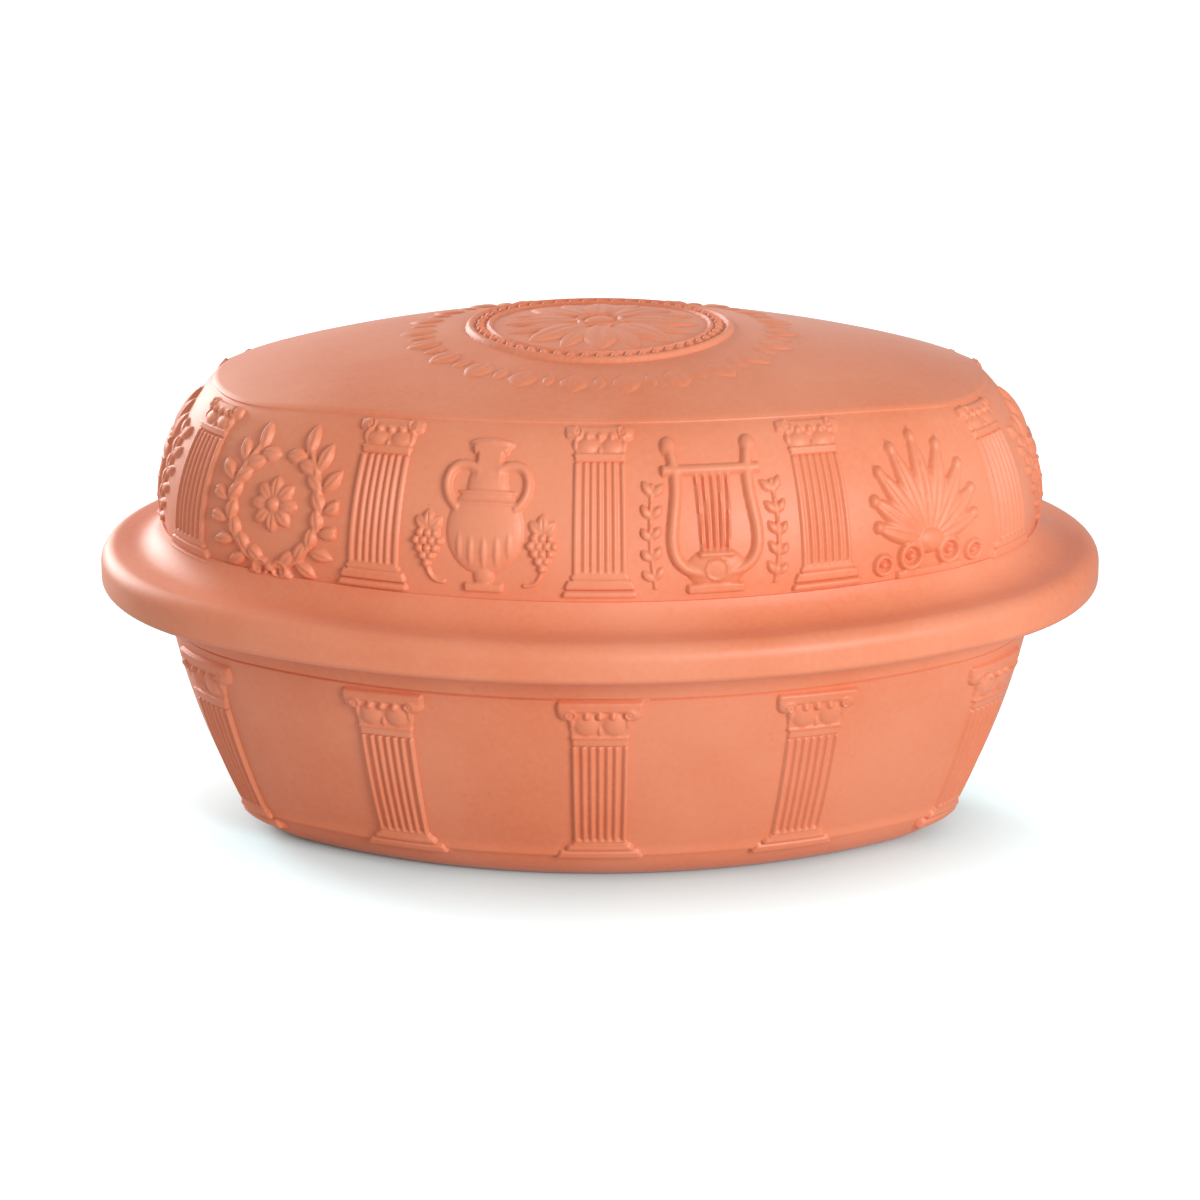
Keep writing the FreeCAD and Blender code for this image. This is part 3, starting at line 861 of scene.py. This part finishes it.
def torch():
    ball(0, -9, 3.2, 17, 2.4)
    for y in (-20, -13.5, -7, -0.5):
        ball(0, y, 4.2, 1.1, 2.7)
    ball(0, 3.8, 7.4, 4.2, 2.7)
    block(0, 7.4, 16, 2.4, 2.5, 0.7)
    for side in (-1, 1):
        leaf((side * 5.4, 7), (side * 9.0, 18.5), 6.2, 2.1)
        leaf((side * 2.2, 7), (side * 4.2, 22.5), 6.6, 2.4)
    leaf((0, 6), (0, 26), 8.4, 2.7)
    mirrored(sprig, (3.5, -22), (18.5, 16), -3.5, 6, 7.6)


MOTIFS = [lyre, palmette, torch, wreath, amphora]
PANEL_MIDDLE = 138.5
PANEL_WIDTH = 50.0
PANEL_LOW = 113.8
PANEL_HIGH = 166.6
PANEL_CELL = 0.47


def set_panels():
    pitch = girth_at(LID_WALL, PANEL_MIDDLE) / COLUMN_COUNT
    for kind, motif in enumerate(MOTIFS):
        motif()
        for piece in STAMP:
            spots = places(piece)
            spots[:, 1] += PANEL_MIDDLE
            put(piece, spots)
        sheet = press(motif.__name__ + "_sheet", PANEL_WIDTH, PANEL_LOW, PANEL_HIGH, PANEL_CELL)
        for turn in range(COLUMN_COUNT // len(MOTIFS)):
            distance = (kind + turn * len(MOTIFS) + 0.5) * pitch
            name = f"{motif.__name__}_{turn + 1}"
            RELIEF.append(wrapped(sheet, name, LID_WALL, PANEL_MIDDLE, distance, PANEL_LOW, PANEL_HIGH))
        bpy.data.objects.remove(sheet)


set_panels()
print("with the frieze:", len(RELIEF), "pieces of relief")

# %% [markdown]
# ## The medallion
# A ring with beads round a rosette lies in the middle of the plateau, and a garland of leaves round it.
# Like the lid it is oval, wider than deep. It is one sheet, pressed the same way and laid on the crown.

# %% Build and lay the medallion
MEDALLION_OUTER = 46.5
MEDALLION_DEEP = 0.83
MEDALLION_CELL = 0.58
GARLAND_INNER = 56.5
GARLAND_OUTER = 69.5
LEAVES = 22
PETALS = 8
BEADS = 52


def ring_place(radius, turn):
    return (radius * math.cos(turn), radius * math.sin(turn))


def medallion_stamp():
    hoop(0, 0, MEDALLION_OUTER - 1.4, 1.4, 1.9)
    hoop(0, 0, 38.4, 0.8, 1.4)
    for index in range(BEADS):
        x, y = ring_place(41.4, 2 * math.pi * index / BEADS)
        ball(x, y, 1.6, 1.6, 1.7)
    for index in range(PETALS):
        turn = 2 * math.pi * index / PETALS
        between = turn + math.pi / PETALS
        leaf(ring_place(9, between), ring_place(35.0, between), 8.0, 1.2)
        leaf(ring_place(5, turn), ring_place(34.5, turn), 13.0, 1.6)
    hoop(0, 0, 7.6, 0.9, 1.5)
    ball(0, 0, 5.6, 5.6, 1.5)
    for index in range(LEAVES):
        turn = 2 * math.pi * index / LEAVES
        between = turn + math.pi / LEAVES
        leaf(ring_place(GARLAND_INNER, turn), ring_place(GARLAND_OUTER, turn), 10.0, 1.15)
        leaf(ring_place(GARLAND_INNER + 0.5, between), ring_place(GARLAND_OUTER - 2.5, between), 4.2, 0.9)


def lay_on_crown(sheet):
    spots = places(sheet)
    spots[:, 1] *= MEDALLION_DEEP
    x, y, proud = spots.T
    spots[:, 2] = crown(x, y) + proud
    put(sheet, spots)
    smooth_shade(sheet, 60)


medallion_stamp()
reach = GARLAND_OUTER + 2.5
medallion = press("medallion", 2 * reach, -reach, reach, MEDALLION_CELL, True)
medallion.data.name = "medallion"
lay_on_crown(medallion)
RELIEF.append(medallion)
medallion_top = places(medallion)[:, 2].max()
print("medallion:", len(medallion.data.polygons), "faces, top at", round(medallion_top, 2), "mm")

# %% [markdown]
# ## Unglazed fired clay
# Terracotta: iron-rich earthenware, slip cast, sponged and fired without a glaze. To the eye that is
# a matte salmon orange, a little uneven from the kiln over a few centimetres, with a dusty fine
# grain and rare small specks. The grain is finer than a pixel, so it is drawn at 0.9 mm.

# %% Mix the clay
def colour(hex_code):
    """An sRGB hex value as the linear colour that the shader wants."""
    parts = [int(hex_code[i:i + 2], 16) / 255 for i in (0, 2, 4)]
    return [p / 12.92 if p <= 0.04045 else ((p + 0.055) / 1.055) ** 2.4 for p in parts] + [1.0]


def add(tree, kind, settings=None, inputs=None):
    """Add a node. Inputs hold a value, or a socket to link."""
    node = tree.nodes.new(kind)
    for name, value in (settings or {}).items():
        setattr(node, name, value)
    for name, value in (inputs or {}).items():
        if isinstance(value, bpy.types.NodeSocket):
            tree.links.new(value, node.inputs[name])
        else:
            node.inputs[name].default_value = value
    return node


def per_mm(size):
    """The scale at which a texture repeats about once in this many millimetres."""
    return 1 / (size * MM)


def terracotta():
    made = bpy.data.materials.new("unglazed_terracotta")
    made.use_nodes = True
    tree = made.node_tree
    tree.nodes.clear()
    spot = add(tree, "ShaderNodeTexCoord").outputs["Object"]
    kiln = add(tree, "ShaderNodeTexNoise", None, {"Vector": spot, "Scale": per_mm(75), "Detail": 3.0})
    dust = add(tree, "ShaderNodeTexNoise", None, {"Vector": spot, "Scale": per_mm(2.2), "Detail": 4.0})
    specks = add(tree, "ShaderNodeTexNoise", None, {"Vector": spot, "Scale": per_mm(3.0), "Detail": 1.0})
    flush = add(tree, "ShaderNodeMapRange", None, {
        "Value": kiln.outputs["Fac"], "From Min": 0.35, "From Max": 0.65})
    body = add(tree, "ShaderNodeMix", {"data_type": "RGBA"}, {"Factor": flush.outputs["Result"]})
    body.inputs[6].default_value = colour("E37D53")
    body.inputs[7].default_value = colour("EC906B")
    powder = add(tree, "ShaderNodeMapRange", None, {
        "Value": dust.outputs["Fac"], "From Min": 0.3, "From Max": 0.7, "To Min": 0.0, "To Max": 0.16})
    dusted = add(tree, "ShaderNodeMix", {"data_type": "RGBA"}, {"Factor": powder.outputs["Result"]})
    tree.links.new(body.outputs[2], dusted.inputs[6])
    dusted.inputs[7].default_value = colour("F2A98A")
    grit = add(tree, "ShaderNodeMapRange", None, {
        "Value": specks.outputs["Fac"], "From Min": 0.74, "From Max": 0.8, "To Min": 0.0, "To Max": 0.15})
    skin = add(tree, "ShaderNodeMix", {"data_type": "RGBA"}, {"Factor": grit.outputs["Result"]})
    tree.links.new(dusted.outputs[2], skin.inputs[6])
    skin.inputs[7].default_value = colour("B85F40")
    grain = add(tree, "ShaderNodeTexNoise", None, {"Vector": spot, "Scale": per_mm(0.9), "Detail": 3.0})
    bump = add(tree, "ShaderNodeBump", None, {
        "Height": grain.outputs["Fac"], "Strength": 0.22, "Distance": 0.1 * MM})
    shade = add(tree, "ShaderNodeBsdfPrincipled", None, {
        "Base Color": skin.outputs[2], "Roughness": 0.47, "IOR": 1.52, "Sheen Weight": 0.12,
        "Sheen Roughness": 0.4, "Normal": bump.outputs["Normal"]})
    add(tree, "ShaderNodeOutputMaterial", None, {"Surface": shade.outputs["BSDF"]})
    return made


clay = terracotta()
for piece in [dish, lid] + RELIEF:
    piece.data.materials.clear()
    piece.data.materials.append(clay)
    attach(piece, "root")
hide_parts("base_dish")
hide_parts("lid")
print("material:", clay.name, "on", 2 + len(RELIEF), "pieces")

# %% [markdown]
# ## Floor, light and camera
# The photo is a plain studio shot on white paper. One large soft lamp stands behind on the left, which
# brightens the left end, and a smaller one in front on the right, low enough to reach under the flange.
# The camera sees the paper as white. Close to the foot the paper's glow is dimmed where the pot hides it,
# a painted shadow that joins the real one, so the shadow at the foot stays grey. The camera stands two
# metres off and looks a little down.

# %% Set the stage
CAMERA_RISE = math.radians(18.6)
CAMERA_AWAY = 2.0
TARGET = (0.0, 0.0, 0.0805)
PHOTO_WIDTH = 1200
PIXELS_PER_MM = 2.838
SENSOR = 36.0


def floor():
    deselect()
    bpy.ops.mesh.primitive_plane_add(size=4, location=(0, 0, 0))
    board = bpy.context.object
    board.name = "floor"
    made = bpy.data.materials.new("white_paper")
    made.use_nodes = True
    tree = made.node_tree
    tree.nodes.clear()
    paper = add(tree, "ShaderNodeBsdfDiffuse", None, {"Color": colour("D0D0D0")})
    seen = add(tree, "ShaderNodeBsdfDiffuse", None, {"Color": (0.67, 0.93, 0.98, 1)})
    # Painted shadow: the glow the camera sees is darkened where the pot hides the paper within 4 cm, on top
    # of the real shadow.
    painted_shadow = add(tree, "ShaderNodeAmbientOcclusion", None, {"Distance": 0.04})
    glow_with_painted_shadow = add(tree, "ShaderNodeEmission", None, {"Color": painted_shadow.outputs["Color"], "Strength": 0.52})
    both = add(tree, "ShaderNodeAddShader")
    tree.links.new(seen.outputs[0], both.inputs[0])
    tree.links.new(glow_with_painted_shadow.outputs[0], both.inputs[1])
    path = add(tree, "ShaderNodeLightPath")
    mix = add(tree, "ShaderNodeMixShader", None, {"Fac": path.outputs["Is Camera Ray"]})
    tree.links.new(paper.outputs[0], mix.inputs[1])
    tree.links.new(both.outputs[0], mix.inputs[2])
    add(tree, "ShaderNodeOutputMaterial", None, {"Surface": mix.outputs[0]})
    board.data.materials.append(made)


def sky():
    world = bpy.context.scene.world or bpy.data.worlds.new("World")
    bpy.context.scene.world = world
    world.use_nodes = True
    tree = world.node_tree
    tree.nodes.clear()
    path = add(tree, "ShaderNodeLightPath")
    soft = add(tree, "ShaderNodeBackground", None, {"Color": (1, 1, 1, 1), "Strength": 0.5})
    white = add(tree, "ShaderNodeBackground", None, {"Color": (1, 1, 1, 1), "Strength": 1.0})
    mix = add(tree, "ShaderNodeMixShader", None, {"Fac": path.outputs["Is Camera Ray"]})
    tree.links.new(soft.outputs[0], mix.inputs[1])
    tree.links.new(white.outputs[0], mix.inputs[2])
    add(tree, "ShaderNodeOutputWorld", None, {"Surface": mix.outputs[0]})


def soft_light(name, place, size, watts):
    """A square lamp that faces the pot."""
    data = bpy.data.lights.new(name, "AREA")
    data.size = size
    data.energy = watts
    lamp = bpy.data.objects.new(name, data)
    bpy.context.scene.collection.objects.link(lamp)
    lamp.location = place
    away = lamp.location.copy()
    away.z -= TARGET[2]
    lamp.rotation_euler = away.to_track_quat("Z", "Y").to_euler()


def camera():
    data = bpy.data.cameras.new("camera")
    data.sensor_width = SENSOR
    data.lens = PIXELS_PER_MM * (CAMERA_AWAY / MM) / PHOTO_WIDTH * SENSOR
    eye = bpy.data.objects.new("camera", data)
    bpy.context.scene.collection.objects.link(eye)
    level = CAMERA_AWAY * math.cos(CAMERA_RISE)
    eye.location = (0, -level, TARGET[2] + CAMERA_AWAY * math.sin(CAMERA_RISE))
    eye.rotation_euler = (math.pi / 2 - CAMERA_RISE, 0, 0)
    bpy.context.scene.camera = eye
    print("lens", round(data.lens, 1), "mm")


floor()
sky()
soft_light("front", (1.0, -1.45, 0.62), 0.7, 22)
soft_light("side", (-1.25, 1.45, 0.65), 1.0, 34)
camera()
bpy.context.scene.view_settings.view_transform = "Standard"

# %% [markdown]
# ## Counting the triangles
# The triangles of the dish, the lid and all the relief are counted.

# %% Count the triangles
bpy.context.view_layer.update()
triangles = 0
for piece in [dish, lid] + RELIEF:
    piece.data.calc_loop_triangles()
    triangles += len(piece.data.loop_triangles)
print(triangles, "triangles in", 2 + len(RELIEF), "pieces")
